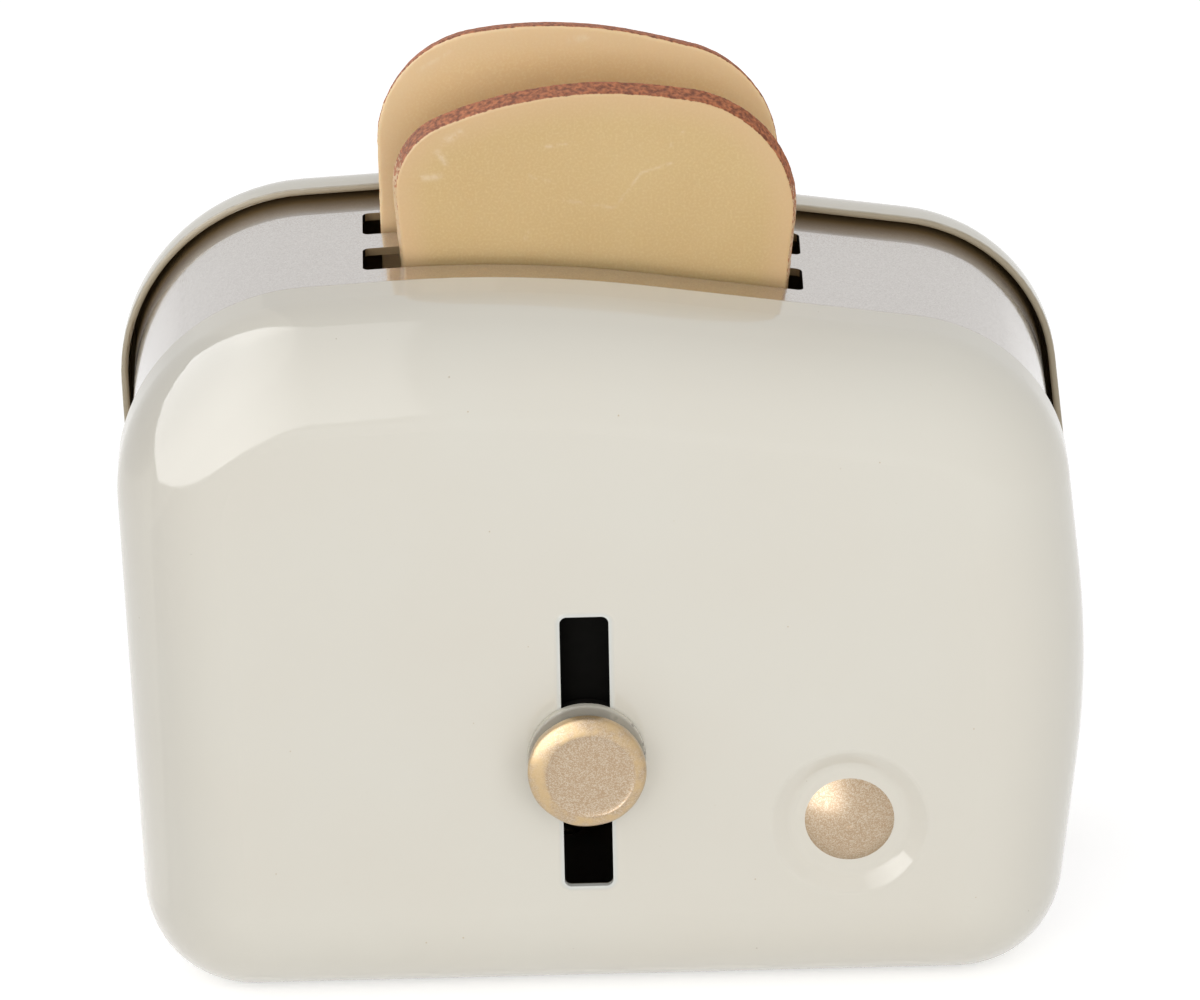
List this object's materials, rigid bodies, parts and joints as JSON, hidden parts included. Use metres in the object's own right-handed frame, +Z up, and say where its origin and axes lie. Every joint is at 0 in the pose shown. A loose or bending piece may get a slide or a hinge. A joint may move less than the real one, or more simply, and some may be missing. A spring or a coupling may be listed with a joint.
{
  "type": "toy toaster",
  "caption": "Doll-scale pressed-tin toy toaster with a push-down lever, a fixed round button and lift-out slices of play bread.",
  "frame": {"origin": "on the table, under the middle of the whole toaster", "axes": "+Z up, +X to the right as seen from the front, +Y from the lever's side towards the back"},
  "size_m": [0.0601, 0.0344, 0.0587],
  "materials": {
    "cream_enamel": "glossy cream stove enamel on pressed tinplate",
    "champagne_lacquer": "glossy metallic champagne lacquer on tinplate",
    "tinplate": "bare tinned sheet",
    "black_lacquer": "flat black lacquer on folded sheet",
    "rivet_steel": "bare steel, upset cold",
    "zinc_steel": "bright zinc plate",
    "spring_steel": "blued spring steel",
    "champagne_pearl": "champagne pearl paint with fine flakes",
    "clear_plastic": "clear moulded plastic, a little milky",
    "fibre": "pressed black fibre",
    "cast_resin_toast": "cast butter-coloured resin with a brushed brown crust"
  },
  "bodies": {
    "toaster_body": {"front_cover": "cream_enamel", "rear_cover": "cream_enamel", "body_band": "champagne_lacquer", "seam_strap": "tinplate", "seam_rivets": "rivet_steel", "tie_posts": "zinc_steel", "rear_screws": "zinc_steel", "guide_rail_left": "black_lacquer", "guide_rail_right": "black_lacquer", "button": "champagne_pearl", "button_clip": "spring_steel"},
    "lever_carriage": {"lever_knob": "champagne_pearl", "lever_stud": "zinc_steel", "clear_washer": "clear_plastic", "fibre_washer": "fibre", "spring_washer": "spring_steel", "carriage": "black_lacquer", "shelf_divider": "black_lacquer", "plain_washer": "zinc_steel", "stud_nut": "zinc_steel"},
    "front_slice": {"toast_front": "cast_resin_toast"},
    "rear_slice": {"toast_rear": "cast_resin_toast"}
  },
  "joints": [
    {"name": "lever_slide", "type": "slide", "parent": "toaster_body", "child": "lever_carriage", "axis": [0, 0, 1], "range_m": [-0.0075, 0.008]},
    {"name": "front_slice_lift", "type": "slide", "parent": "lever_carriage", "child": "front_slice", "axis": [0, 0, 1], "range_m": [0, 0.03]},
    {"name": "rear_slice_lift", "type": "slide", "parent": "lever_carriage", "child": "rear_slice", "axis": [0, 0.0523, 0.9986], "range_m": [0, 0.03]}
  ]
}
